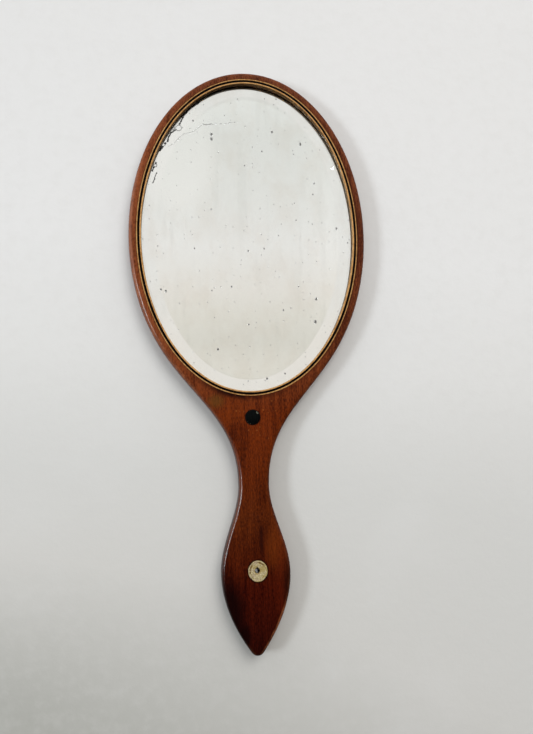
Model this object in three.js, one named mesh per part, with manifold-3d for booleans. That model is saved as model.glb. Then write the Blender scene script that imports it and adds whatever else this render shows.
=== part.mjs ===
// Antique mahogany hand mirror. A one-piece board carries a bevelled oval glass in its head. Three flush
// inlaid strings frame the opening, an ebony dot marks the neck, and a bone disc with a hanging hole sits
// low on the leaf-shaped handle. The glass is packed from behind and closed in by a pinned wooden panel.
//
// Millimetres. Pieces are drawn lying flat: X across, Y up from the handle's tip to the top of the head,
// and Z out of the mirror's face, with Z = 0 at half the board's thickness. The group then stands them up,
// so that the finished mirror has +Z up, its tip at the origin, and its face towards -Y.

import * as THREE from 'three';
import { mergeVertices } from 'three/addons/utils/BufferGeometryUtils.js';
import Module from 'manifold-3d';

const wasm = await Module();
wasm.setup();

// ---- Board ----
const THICKNESS = 11;
const ROUND_OVER_WIDTH = 2.6;     // how far the rounded edge reaches in from the outline
const ROUND_OVER_DEPTH = 3.4;     // how far it reaches down the side
const ROUND_OVER_STEPS = 4;
const FIT_GAP = 0.05;             // clearance round every glued or fitted piece

// ---- Oval head: every oval is the ebony string's centre line, moved in or out by an offset ----
const HEAD_CENTRE_Y = 247.55;
const OVAL_HALF_WIDTH = 65.5;
const OVAL_HALF_HEIGHT = 96.05;
const OVAL_STEPS = 80;
const RIM_OFFSET = 6.2;           // centre line to the board's outer edge

// ---- Inlaid strings ----
const EBONY_WIDTH = 1.34;
const OUTER_BOXWOOD_WIDTH = 0.66;
const INNER_BOXWOOD_WIDTH = 0.82;
const STRING_DEPTH = 1.2;
const LINING_DEPTH = 3.3;         // the inner string also lines the opening down to the glass

// ---- Glass and what is packed behind it, front to back ----
const GLASS_OVERLAP = 1.6;        // hidden behind the lining
const GLASS_EDGE_THICKNESS = 2;
const BEVEL_WIDTH = 9;
const BEVEL_RISE = 1.4;
const SILVERING_THICKNESS = 0.15;
const PAPER_THICKNESS = 0.25;
const POCKET_CLEARANCE = 0.75;    // between the glass's edge and the pocket's wall
const SLIP_COUNT = 6;
const SLIP_SPAN_STEPS = 3;        // length of a packing slip, in steps of the oval
const SLIP_HEIGHT = 1.7;

// ---- Back panel and its pins ----
const PANEL_THICKNESS = 3.5;
const LEDGE_WIDTH = 2.4;          // wooden ledge that the panel is pinned to
const PANEL_GAP = 0.3;            // visible gap round the panel
const PIN_COUNT = 8;
const PIN_INSET = 1.2;            // pin's centre to the ledge's inner edge
const PIN_RADIUS = 0.45;
const PIN_HEAD_RADIUS = 0.8;
const PIN_HEAD_THICKNESS = 0.6;
const PIN_LENGTH = 7.2;
const PIN_POINT_LENGTH = 0.9;
const PIN_SIDES = 12;

// ---- Neck and handle outline, right-hand half: points and the lengths of their curve handles ----
const RIM_ARC_END = THREE.MathUtils.degToRad(-33);
const RIM_PULL = 45;
const WAIST = new THREE.Vector2(8.95, 97.6);
const WAIST_PULL_UP = 43;
const WAIST_PULL_DOWN = 17.4;
const BELLY = new THREE.Vector2(20.3, 46.5);
const BELLY_PULL_UP = 18.1;
const BELLY_PULL_DOWN = 19;
const TIP_RADIUS = 4.3;
const TIP_ARC_ANGLE = THREE.MathUtils.degToRad(54);
const TIP_PULL = 10.4;
const RIM_ARC_STEPS = 52;
const CURVE_STEPS = 14;
const TIP_ARC_STEPS = 4;

// ---- Round inlays ----
const DOT_Y = 137.4;
const DOT_RADIUS = 4.45;
const DOT_THICKNESS = 1.5;
const DISC_CENTRE = new THREE.Vector2(0.9, 48.4);
const DISC_HALF_WIDTH = 5.65;
const DISC_HALF_HEIGHT = 6.1;
const DISC_THICKNESS = 2.2;
const HANGING_HOLE_CENTRE = new THREE.Vector2(0.65, 48.65);
const HANGING_HOLE_RADIUS = 1.5;
const HANGING_HOLE_APEX = 2.15;    // centre to the point that the hook has worn at the top
const INLAY_SIDES = 40;
const HOLE_SIDES = 20;

const CUT_OVERSHOOT = 2;          // how far a cutter runs past the face it opens

// ---- Levels through the thickness ----
const FRONT = THICKNESS / 2;
const BACK = -THICKNESS / 2;
const POCKET_CEILING = FRONT - LINING_DEPTH;
const BEVEL_RISE_UNDER_LINING = (BEVEL_RISE * GLASS_OVERLAP) / BEVEL_WIDTH;
const GLASS_FRONT_EDGE = POCKET_CEILING - BEVEL_RISE_UNDER_LINING - FIT_GAP;
const GLASS_BACK = GLASS_FRONT_EDGE - GLASS_EDGE_THICKNESS;
const SILVERING_FRONT = GLASS_BACK - FIT_GAP;
const PAPER_FRONT = SILVERING_FRONT - SILVERING_THICKNESS - FIT_GAP;
const FELT_FRONT = PAPER_FRONT - PAPER_THICKNESS - FIT_GAP;
const PANEL_FRONT = BACK + PANEL_THICKNESS;

// ---- Offsets of the ovals, outwards from the ebony string's centre line ----
const EBONY_OUTER = EBONY_WIDTH / 2;
const EBONY_INNER = -EBONY_WIDTH / 2;
const OPENING_OFFSET = EBONY_INNER - INNER_BOXWOOD_WIDTH;
const OUTER_STRING_OFFSET = EBONY_OUTER + OUTER_BOXWOOD_WIDTH;
const GLASS_OFFSET = OPENING_OFFSET + GLASS_OVERLAP;
const POCKET_OFFSET = GLASS_OFFSET + POCKET_CLEARANCE;
const REBATE_OFFSET = POCKET_OFFSET + LEDGE_WIDTH;
const PIN_OFFSET = POCKET_OFFSET + PIN_INSET;

const finishes = {
  mahogany: { color: 0x6b3524, roughness: 0.45, metalness: 0 },
  boxwood: { color: 0xc2a878, roughness: 0.5, metalness: 0 },
  ebony: { color: 0x1d1512, roughness: 0.4, metalness: 0 },
  bone: { color: 0xd8cdb4, roughness: 0.45, metalness: 0 },
  glass: { color: 0xdfe4de, roughness: 0.03, metalness: 0, transparent: true, opacity: 0.35 },
  silver: { color: 0xd6d6d0, roughness: 0.06, metalness: 1 },
  card: { color: 0xb79f78, roughness: 0.9, metalness: 0 },
  paper: { color: 0xcfc1a0, roughness: 0.95, metalness: 0 },
  felt: { color: 0x3d4a3a, roughness: 1, metalness: 0 },
  panel: { color: 0x7a4a30, roughness: 0.6, metalness: 0 },
  brass: { color: 0xa8843c, roughness: 0.4, metalness: 1 },
};

const mirror = new THREE.Group();
mirror.rotation.x = Math.PI / 2;

function addPiece(name, geometry, finish) {
  const piece = new THREE.Mesh(geometry, new THREE.MeshStandardMaterial(finishes[finish]));
  piece.name = name;
  mirror.add(piece);
  return piece;
}

// A point of the head's oval at an angle, moved outwards at right angles to the curve by an offset.
function ovalPoint(angle, offset) {
  const normal = new THREE.Vector2(
    OVAL_HALF_HEIGHT * Math.cos(angle),
    OVAL_HALF_WIDTH * Math.sin(angle),
  ).normalize();
  return new THREE.Vector2(
    OVAL_HALF_WIDTH * Math.cos(angle) + offset * normal.x,
    HEAD_CENTRE_Y + OVAL_HALF_HEIGHT * Math.sin(angle) + offset * normal.y,
  );
}

// The direction in which the oval runs down its right-hand side at an angle.
function ovalDownwards(angle) {
  return new THREE.Vector2(
    OVAL_HALF_WIDTH * Math.sin(angle),
    -OVAL_HALF_HEIGHT * Math.cos(angle),
  ).normalize();
}

function ovalStepAngle(step) {
  return (step / OVAL_STEPS) * 2 * Math.PI;
}

function oval(offset) {
  return Array.from({ length: OVAL_STEPS }, (_, step) => ovalPoint(ovalStepAngle(step), offset));
}

function ellipse(centre, halfWidth, halfHeight, sides) {
  return Array.from({ length: sides }, (_, side) => {
    const angle = (side / sides) * 2 * Math.PI;
    return new THREE.Vector2(
      centre.x + halfWidth * Math.cos(angle),
      centre.y + halfHeight * Math.sin(angle),
    );
  });
}

// A circle drawn out to a point above its centre.
function teardrop(centre, radius, apex, sides) {
  const opening = Math.acos(radius / apex);
  const arc = Array.from({ length: sides }, (_, side) => {
    const turn = THREE.MathUtils.lerp(opening, 2 * Math.PI - opening, side / (sides - 1));
    return new THREE.Vector2(centre.x - radius * Math.sin(turn), centre.y + radius * Math.cos(turn));
  });
  return [new THREE.Vector2(centre.x, centre.y + apex), ...arc];
}

// A flat-sided solid with a given outline, and holes through it, between two levels.
function slab(outline, low, high, holes = []) {
  const shape = new THREE.Shape(outline);
  for (const hole of holes) {
    shape.holes.push(new THREE.Path(hole));
  }
  const geometry = new THREE.ExtrudeGeometry(shape, { depth: high - low, bevelEnabled: false });
  return geometry.translate(0, 0, low);
}

function toSolid(geometry) {
  const bare = geometry.clone();
  bare.deleteAttribute('normal');
  bare.deleteAttribute('uv');
  const merged = mergeVertices(bare);
  return new wasm.Manifold(new wasm.Mesh({
    numProp: 3,
    vertProperties: Float32Array.from(merged.getAttribute('position').array),
    triVerts: Uint32Array.from(merged.getIndex().array),
  }));
}

function toGeometry(solid) {
  const mesh = solid.getMesh();
  const geometry = new THREE.BufferGeometry();
  geometry.setAttribute('position', new THREE.BufferAttribute(mesh.vertProperties, 3));
  geometry.setIndex(new THREE.BufferAttribute(mesh.triVerts, 1));
  geometry.computeVertexNormals();
  return geometry;
}

function cut(geometry, cutters) {
  let solid = toSolid(geometry);
  for (const cutter of cutters) {
    solid = solid.subtract(toSolid(cutter));
  }
  return toGeometry(solid);
}

// The board's outline, anticlockwise from the top of the head: the left half mirrors the right one.
function boardOutline() {
  const tipArcEnd = new THREE.Vector2(
    TIP_RADIUS * Math.sin(TIP_ARC_ANGLE),
    TIP_RADIUS * (1 - Math.cos(TIP_ARC_ANGLE)),
  );
  const tipArcStart = new THREE.Vector2(Math.cos(TIP_ARC_ANGLE), Math.sin(TIP_ARC_ANGLE));
  const rimEnd = ovalPoint(RIM_ARC_END, RIM_OFFSET);
  const up = (point, length) => new THREE.Vector2(point.x, point.y + length);
  const rim = Array.from({ length: RIM_ARC_STEPS }, (_, step) => {
    const angle = THREE.MathUtils.lerp(Math.PI / 2, RIM_ARC_END, step / RIM_ARC_STEPS);
    return ovalPoint(angle, RIM_OFFSET);
  });
  const neck = new THREE.CubicBezierCurve(
    rimEnd,
    rimEnd.clone().addScaledVector(ovalDownwards(RIM_ARC_END), RIM_PULL),
    up(WAIST, WAIST_PULL_UP),
    WAIST,
  );
  const shoulder = new THREE.CubicBezierCurve(
    WAIST,
    up(WAIST, -WAIST_PULL_DOWN),
    up(BELLY, BELLY_PULL_UP),
    BELLY,
  );
  const leaf = new THREE.CubicBezierCurve(
    BELLY,
    up(BELLY, -BELLY_PULL_DOWN),
    tipArcEnd.clone().addScaledVector(tipArcStart, TIP_PULL),
    tipArcEnd,
  );
  const tip = Array.from({ length: TIP_ARC_STEPS + 1 }, (_, step) => {
    const angle = TIP_ARC_ANGLE * (1 - step / TIP_ARC_STEPS);
    return new THREE.Vector2(TIP_RADIUS * Math.sin(angle), TIP_RADIUS * (1 - Math.cos(angle)));
  });
  const rightHalf = [
    ...rim,
    ...neck.getPoints(CURVE_STEPS).slice(0, -1),
    ...shoulder.getPoints(CURVE_STEPS).slice(0, -1),
    ...leaf.getPoints(CURVE_STEPS).slice(0, -1),
    ...tip,
  ];
  const leftHalf = rightHalf.slice(1, -1).map((point) => new THREE.Vector2(-point.x, point.y));
  return [...leftHalf, ...rightHalf.reverse()];
}

// ---- Board with its stepped oval opening, inlay sockets, hanging hole and pin holes ----
const pinPlaces = Array.from({ length: PIN_COUNT }, (_, pin) => {
  return ovalPoint(((pin + 0.5) / PIN_COUNT) * 2 * Math.PI, PIN_OFFSET);
});

function pinHole(place, radius, low, high) {
  return slab(ellipse(place, radius + FIT_GAP, radius + FIT_GAP, PIN_SIDES), low, high);
}

const board = new THREE.ExtrudeGeometry(new THREE.Shape(boardOutline()), {
  depth: THICKNESS - 2 * ROUND_OVER_DEPTH,
  bevelEnabled: true,
  bevelThickness: ROUND_OVER_DEPTH,
  bevelSize: ROUND_OVER_WIDTH,
  bevelOffset: -ROUND_OVER_WIDTH,
  bevelSegments: ROUND_OVER_STEPS,
}).translate(0, 0, BACK + ROUND_OVER_DEPTH);

const pinEnd = BACK + PIN_LENGTH;
const above = FRONT + CUT_OVERSHOOT;
const below = BACK - CUT_OVERSHOOT;

const dotSocket = ellipse(
  new THREE.Vector2(0, DOT_Y),
  DOT_RADIUS + FIT_GAP,
  DOT_RADIUS + FIT_GAP,
  INLAY_SIDES,
);
const discSocket = ellipse(
  DISC_CENTRE,
  DISC_HALF_WIDTH + FIT_GAP,
  DISC_HALF_HEIGHT + FIT_GAP,
  INLAY_SIDES,
);
const hangingHole = teardrop(
  HANGING_HOLE_CENTRE,
  HANGING_HOLE_RADIUS,
  HANGING_HOLE_APEX,
  HOLE_SIDES,
);

addPiece('handle_frame', cut(board, [
  slab(oval(OUTER_STRING_OFFSET + FIT_GAP), FRONT - STRING_DEPTH - FIT_GAP, above),
  slab(oval(EBONY_INNER + FIT_GAP), below, above),
  slab(oval(POCKET_OFFSET), below, POCKET_CEILING),
  slab(oval(REBATE_OFFSET), below, PANEL_FRONT + FIT_GAP),
  slab(dotSocket, FRONT - DOT_THICKNESS - FIT_GAP, above),
  slab(discSocket, FRONT - DISC_THICKNESS - FIT_GAP, above),
  slab(hangingHole, below, above),
  ...pinPlaces.map((place) => pinHole(place, PIN_RADIUS, PANEL_FRONT - CUT_OVERSHOOT, pinEnd + FIT_GAP)),
]), 'mahogany');

// ---- Strings: two shallow ones on the board, and the deep inner one that lines the opening ----
function string(name, inner, outer, depth, finish) {
  addPiece(name, slab(oval(outer), FRONT - depth, FRONT, [oval(inner)]), finish);
}

string('outer_boxwood_string', EBONY_OUTER + FIT_GAP, OUTER_STRING_OFFSET, STRING_DEPTH, 'boxwood');
string('ebony_string', EBONY_INNER + FIT_GAP, EBONY_OUTER, STRING_DEPTH, 'ebony');
string('inner_boxwood_string', OPENING_OFFSET, EBONY_INNER, LINING_DEPTH, 'boxwood');

// ---- Round inlays ----
addPiece('ebony_dot', slab(
  ellipse(new THREE.Vector2(0, DOT_Y), DOT_RADIUS, DOT_RADIUS, INLAY_SIDES),
  FRONT - DOT_THICKNESS,
  FRONT,
), 'ebony');

addPiece('bone_disc', slab(
  ellipse(DISC_CENTRE, DISC_HALF_WIDTH, DISC_HALF_HEIGHT, INLAY_SIDES),
  FRONT - DISC_THICKNESS,
  FRONT,
  [hangingHole],
), 'bone');

// ---- Glass: a plate whose front edge is ground down in a wide flat bevel ----
const glassBlank = new THREE.ExtrudeGeometry(new THREE.Shape(oval(GLASS_OFFSET)), {
  depth: 2 * GLASS_EDGE_THICKNESS,
  bevelEnabled: true,
  bevelThickness: BEVEL_RISE,
  bevelSize: BEVEL_WIDTH,
  bevelOffset: -BEVEL_WIDTH,
  bevelSegments: 1,
}).translate(0, 0, GLASS_BACK - GLASS_EDGE_THICKNESS);

addPiece('mirror_glass', cut(glassBlank, [
  slab(oval(GLASS_OFFSET + CUT_OVERSHOOT), below, GLASS_BACK),
]), 'glass');

// ---- Layers behind the glass ----
function layer(name, front, back, finish) {
  addPiece(name, slab(oval(GLASS_OFFSET), back, front), finish);
}

layer('silvering', SILVERING_FRONT, SILVERING_FRONT - SILVERING_THICKNESS, 'silver');
layer('backing_paper', PAPER_FRONT, PAPER_FRONT - PAPER_THICKNESS, 'paper');
layer('felt_pad', FELT_FRONT, PANEL_FRONT + FIT_GAP, 'felt');

// ---- Packing slips: short curved wedges between the glass's edge and the pocket's wall ----
for (let slip = 0; slip < SLIP_COUNT; slip++) {
  const middle = Math.round(((slip + 0.5) / SLIP_COUNT) * OVAL_STEPS);
  const angles = Array.from({ length: SLIP_SPAN_STEPS + 1 }, (_, step) => {
    return ovalStepAngle(middle - Math.floor(SLIP_SPAN_STEPS / 2) + step);
  });
  const outer = angles.map((angle) => ovalPoint(angle, POCKET_OFFSET - FIT_GAP));
  const inner = angles.map((angle) => ovalPoint(angle, GLASS_OFFSET + FIT_GAP));
  addPiece(
    `packing_slip_${slip + 1}`,
    slab([...outer, ...inner.reverse()], GLASS_BACK, GLASS_BACK + SLIP_HEIGHT),
    'card',
  );
}

// ---- Back panel, flush with the board's back and countersunk for its pins ----
const panelBlank = slab(oval(REBATE_OFFSET - PANEL_GAP), BACK, PANEL_FRONT);

addPiece('back_panel', cut(panelBlank, pinPlaces.flatMap((place) => [
  pinHole(place, PIN_RADIUS, below, PANEL_FRONT + CUT_OVERSHOOT),
  pinHole(place, PIN_HEAD_RADIUS, below, BACK + PIN_HEAD_THICKNESS + FIT_GAP),
])), 'panel');

// ---- Pins: turned about their own axis, head at the back and point in the board ----
const pinProfile = [
  new THREE.Vector2(0, 0),
  new THREE.Vector2(PIN_HEAD_RADIUS, 0),
  new THREE.Vector2(PIN_HEAD_RADIUS, PIN_HEAD_THICKNESS),
  new THREE.Vector2(PIN_RADIUS, PIN_HEAD_THICKNESS),
  new THREE.Vector2(PIN_RADIUS, PIN_LENGTH - PIN_POINT_LENGTH),
  new THREE.Vector2(0, PIN_LENGTH),
];

pinPlaces.forEach((place, index) => {
  const pin = addPiece(
    `panel_pin_${index + 1}`,
    new THREE.LatheGeometry(pinProfile, PIN_SIDES),
    'brass',
  );
  pin.rotation.x = Math.PI / 2;
  pin.position.set(place.x, place.y, BACK);
});

export default mirror;
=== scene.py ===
"""Antique mahogany hand mirror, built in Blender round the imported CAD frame.

The mirror stands upright in the row frame: the handle's tip is at the bottom, the glass faces -Y, and
the board's back lies against a pale wall. Every size and place of a piece is read from the CAD nodes.
Meshes are in metres. Places and feature sizes inside the node materials are in millimetres.
"""

import math

import bmesh
import bpy
import numpy as np
from mathutils import Euler, Matrix, Vector, noise


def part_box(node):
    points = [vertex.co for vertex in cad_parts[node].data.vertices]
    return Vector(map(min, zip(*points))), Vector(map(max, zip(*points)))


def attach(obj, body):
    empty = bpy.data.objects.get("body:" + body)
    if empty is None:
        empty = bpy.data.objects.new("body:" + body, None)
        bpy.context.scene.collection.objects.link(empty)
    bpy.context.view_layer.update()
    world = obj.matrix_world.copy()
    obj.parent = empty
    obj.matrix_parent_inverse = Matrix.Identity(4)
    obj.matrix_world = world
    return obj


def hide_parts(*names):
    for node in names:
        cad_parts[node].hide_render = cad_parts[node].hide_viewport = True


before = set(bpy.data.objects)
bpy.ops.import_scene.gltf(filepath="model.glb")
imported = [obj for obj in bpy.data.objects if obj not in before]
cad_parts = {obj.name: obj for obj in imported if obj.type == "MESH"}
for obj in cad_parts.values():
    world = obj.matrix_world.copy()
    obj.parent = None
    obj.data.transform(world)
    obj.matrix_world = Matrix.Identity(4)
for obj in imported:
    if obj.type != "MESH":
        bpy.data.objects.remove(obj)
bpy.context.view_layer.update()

MM = 0.001

# ---- Fineness of the meshes ----
OVAL_POINTS = 480
OUTLINE_POINTS = 1200
INLAY_POINTS = 120
PIN_POINTS = 28
ROUND_OVER_RINGS = 10
EASE_STEPS = 4
CURVE_STEPS = 24             # steps between two points of the board's outline
SHARP_ANGLE = math.radians(32)
SAME_LEVEL = 0.07 * MM

# ---- Hand-made irregularity and wear, in metres ----
SEAM = 0.04 * MM
CUT_OVERSHOOT = 3 * MM
STRING_WOBBLE = 0.07 * MM
STRING_EASE = 0.06 * MM
LINING_EASE = 0.18 * MM
HEAD_ROUND_OVER = 3.3 * MM
HANDLE_ROUND_OVER = 2.5 * MM
ROUND_OVER_WEAR = 0.3 * MM
HANDLE_END = 140 * MM        # the round-over widens from here up to the start of the head
HEAD_START = 200 * MM
WEAR_FINENESS = 60
FACE_RING = 0.3 * MM         # a ring on the flat, just inside the round-over
GLASS_ARRIS = 0.15 * MM
PANEL_ARRIS = 0.5 * MM
INLAY_ARRIS = 0.14 * MM
PIN_CROWN = 0.12 * MM
FELT_FUZZ = 0.12 * MM
FELT_EDGE_DIP = 0.25 * MM
FUZZ_FINENESS = 90
GROOVE_DEPTH = 0.12 * MM
GROOVE_REACH = 0.81          # the bone disc's groove, as a share of the way out to its rim
GROOVE_HALF = 0.035

# ---- The wall, the camera and the glint ----
WALL_REACH = 3
WALL_GAP = 0.2 * MM
CAMERA_ASIDE = -28.05 * MM
CAMERA_AWAY = 383.8 * MM
CAMERA_DROP = 111 * MM       # the camera stands this far below the head's centre
CAMERA_PAN = math.radians(5.505)
CAMERA_TILT = math.radians(4.521)
CAMERA_ROLL = math.radians(-1.473)
CAMERA_LENS = 31.88
SENSOR_WIDTH = 36
CLIP_START = 0.01
GLINT_ANGLE = math.radians(27.5)
GLINT_OFFSET = -3.3 * MM
BULB_DISTANCE = 1
BULB_SIZE = 0.008


# ======== What the CAD frame says ========

def node_points(node):
    """A CAD node's vertices as rows of x, y, z, in metres."""
    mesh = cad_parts[node].data
    points = np.zeros(len(mesh.vertices) * 3)
    mesh.vertices.foreach_get("co", points)
    return points.reshape(-1, 3)


def levels(values, tolerance=0.02 * MM):
    """The different values in an array, in order, with near-equal ones taken as one."""
    found = []
    for value in np.sort(values):
        if not found or value - found[-1] > tolerance:
            found.append(float(value))
    return found


def wall_distances(node):
    """How far a ring's walls stand from the centre line, at the head's widest level."""
    points = node_points(node)
    near = points[np.abs(points[:, 2] - HEAD_Z) < SAME_LEVEL]
    return levels(near[near[:, 0] > 0][:, 0])


def reach_at(node, y):
    """How far a node's vertices reach to the right at one level of its thickness."""
    points = node_points(node)
    return points[np.abs(points[:, 1] - y) < SAME_LEVEL][:, 0].max()


def from_line(distance):
    """A distance from the head's centre line, as an offset from the oval."""
    return distance - OVAL_HALF_WIDTH


def middle_of(node):
    """Centre of a node's box, across and up."""
    low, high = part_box(node)
    return (low.x + high.x) / 2, (low.z + high.z) / 2


def half_sizes(node):
    """Half the width and half the height of a node's box."""
    low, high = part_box(node)
    return (high.x - low.x) / 2, (high.z - low.z) / 2


board_low, board_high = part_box("handle_frame")
FRONT, BACK = board_low.y, board_high.y
string_low, string_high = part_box("ebony_string")
HEAD_Z = (string_low.z + string_high.z) / 2
ebony_inner, ebony_outer = wall_distances("ebony_string")
OVAL_HALF_WIDTH = (ebony_inner + ebony_outer) / 2
OVAL_HALF_HEIGHT = OVAL_HALF_WIDTH + (string_high.z - string_low.z) / 2 - string_high.x
STRING_FLOOR = string_high.y
LINING_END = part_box("inner_boxwood_string")[1].y
PANEL_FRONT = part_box("back_panel")[0].y
opening, lining_outer = wall_distances("inner_boxwood_string")
outer_string_inner, outer_string_outer = wall_distances("outer_boxwood_string")
GLASS_OFFSET = from_line(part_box("mirror_glass")[1].x)
POCKET_OFFSET = from_line(reach_at("handle_frame", LINING_END))
REBATE_OFFSET = from_line(reach_at("handle_frame", PANEL_FRONT))
glass_points = node_points("mirror_glass")
GLASS_FRONT, GLASS_EDGE, GLASS_BACK = levels(glass_points[:, 1])
BEVEL_OFFSET = from_line(reach_at("mirror_glass", GLASS_FRONT))


def oval_point(angle, offset):
    """A point of the head's oval, moved out by an offset at right angles to the curve."""
    across, up = oval_normal(angle)
    return (
        OVAL_HALF_WIDTH * math.cos(angle) + offset * across,
        HEAD_Z + OVAL_HALF_HEIGHT * math.sin(angle) + offset * up,
    )


def oval_normal(angle):
    """The direction straight out of the oval."""
    across = OVAL_HALF_HEIGHT * math.cos(angle)
    up = OVAL_HALF_WIDTH * math.sin(angle)
    length = math.hypot(across, up)
    return across / length, up / length


def oval_ring(offset, y, count=OVAL_POINTS):
    """One ring of points. offset is a number, or a function of the angle."""
    ring = []
    for step in range(count):
        angle = 2 * math.pi * step / count
        x, z = oval_point(angle, offset(angle) if callable(offset) else offset)
        ring.append((x, y, z))
    return np.array(ring)


def stepped(walls, edges):
    """A stepped profile: each wall runs from one level to the next."""
    return [(wall, y) for wall, *ends in zip(walls, edges, edges[1:]) for y in ends]


def ovals(profile):
    """Rings round the head, from pairs of an offset and a level."""
    return [oval_ring(offset, y) for offset, y in profile]


def wobbly(offset, seed, size=STRING_WOBBLE):
    """An offset that wanders a little round the oval, as a hand-laid string does."""
    def at(angle):
        wander = math.sin(3 * angle + seed) + 0.7 * math.sin(7 * angle + 2.3 * seed)
        wander += 0.5 * math.sin(17 * angle + 4.1 * seed) + 0.35 * math.sin(41 * angle + seed)
        return offset + size * wander / 2.5
    return at


def shifted(boundary, by):
    """A wobbly boundary moved out by a fixed amount."""
    return lambda angle: boundary(angle) + by


def partly(boundary, share):
    """A boundary drawn in to a share of its reach."""
    return lambda angle: share * boundary(angle)


opening_edge = wobbly(from_line(opening), 0.4, 0.4 * STRING_WOBBLE)
lining_edge = wobbly(from_line((lining_outer + ebony_inner) / 2), 1.7)
ebony_edge = wobbly(from_line((ebony_outer + outer_string_inner) / 2), 2.9)
stringing_edge = wobbly(from_line(outer_string_outer), 4.2)


# ======== Mesh building ========

def loft(rings, section_closes=False):
    """A skin over rings of points, closed into a tube or with a flat face over each end."""
    count = len(rings[0])
    points = np.concatenate(rings)
    faces = []
    bands = len(rings) if section_closes else len(rings) - 1
    for band in range(bands):
        here = band * count
        there = ((band + 1) % len(rings)) * count
        for step in range(count):
            after = (step + 1) % count
            faces.append((here + step, here + after, there + after, there + step))
    if not section_closes:
        faces.append(tuple(range(count))[::-1])
        faces.append(tuple(range((len(rings) - 1) * count, len(rings) * count)))
    return points, faces


def joined(parts):
    """Several skins as one set of points and faces."""
    points = []
    faces = []
    start = 0
    for part_points, part_faces in parts:
        points.append(part_points)
        faces.extend(tuple(start + corner for corner in face) for face in part_faces)
        start += len(part_points)
    return np.concatenate(points), faces


def put(name, data):
    """A new object in the scene, for a mesh, a lamp or a camera."""
    thing = bpy.data.objects.new(name, data)
    bpy.context.scene.collection.objects.link(thing)
    return thing


def build(name, points, faces):
    """A mesh object from points and faces, with its faces turned outwards."""
    mesh = bpy.data.meshes.new(name)
    mesh.from_pydata([tuple(p) for p in points], [], faces)
    piece = put(name, mesh)
    tidy_normals(piece)
    return piece


def tidy_normals(piece):
    """Turns the faces outwards, smooths them, and keeps the real arrises sharp."""
    work = bmesh.new()
    work.from_mesh(piece.data)
    bmesh.ops.recalc_face_normals(work, faces=work.faces)
    for face in work.faces:
        face.smooth = True
    for edge in work.edges:
        edge.smooth = len(edge.link_faces) == 2 and edge.calc_face_angle(0) < SHARP_ANGLE
    work.to_mesh(piece.data)
    work.free()


def cut_away(piece, points, faces):
    """Cuts a piece with a closed skin."""
    cutter = build("cutter", points, faces)
    modifier = piece.modifiers.new("cut", "BOOLEAN")
    modifier.operation = "DIFFERENCE"
    modifier.solver = "EXACT"
    modifier.object = cutter
    depsgraph = bpy.context.evaluated_depsgraph_get()
    result = bpy.data.meshes.new_from_object(piece.evaluated_get(depsgraph))
    piece.modifiers.clear()
    piece.data = result
    bpy.data.objects.remove(cutter)
    tidy_normals(piece)


def adopt(piece, material, slot, *nodes):
    """Gives a finished piece its material and its place in the frame."""
    piece.data.materials.clear()
    piece.data.materials.append(material)
    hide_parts(*nodes)
    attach(piece, "root")
    return piece


def quarter_round(steps):
    """A rounded arris, side to face: shares of its radius in from the side and short of the face."""
    turns = [math.pi / 2 * step / steps for step in range(steps + 1)]
    return [(1 - math.cos(turn), 1 - math.sin(turn)) for turn in turns]


def string_rings(inner, outer, high, ease_inner, ease_outer):
    """Rings round a string with a square section, its two front arrises rounded."""
    rings = [oval_ring(inner, high)]
    for inset, short in quarter_round(EASE_STEPS):
        rings.append(oval_ring(shifted(inner, ease_inner * inset), FRONT + ease_inner * short))
    for inset, short in quarter_round(EASE_STEPS)[::-1]:
        rings.append(oval_ring(shifted(outer, -ease_outer * inset), FRONT + ease_outer * short))
    rings.append(oval_ring(outer, high))
    return rings


def round_ring(centre, radius, y, count=INLAY_POINTS):
    """A ring in the board's plane. radius is a number, or a function of the angle."""
    ring = []
    for step in range(count):
        angle = 2 * math.pi * step / count
        reach = radius(angle) if callable(radius) else radius
        ring.append((centre[0] + reach * math.cos(angle), y, centre[1] + reach * math.sin(angle)))
    return np.array(ring)


def turned(centre, profile, count=INLAY_POINTS):
    """Rings round a centre, from pairs of a radius and a level."""
    return [round_ring(centre, radius, y, count) for radius, y in profile]


def eased(boundary, arris, low, high):
    """A wall's profile, back to front, its front arris eased inwards where arris is negative."""
    profile = [(boundary, high)]
    for out, back in ((0, 1), (0.3, 0.3), (1, 0)):
        profile.append((shifted(boundary, out * arris), low + back * abs(arris)))
    return profile


# ======== Node trees ========

def srgb(red, green, blue):
    """A linear colour from the usual 0 to 255 numbers."""
    def linear(value):
        value /= 255
        return value / 12.92 if value <= 0.04045 else ((value + 0.055) / 1.055) ** 2.4
    return (linear(red), linear(green), linear(blue), 1)


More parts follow.
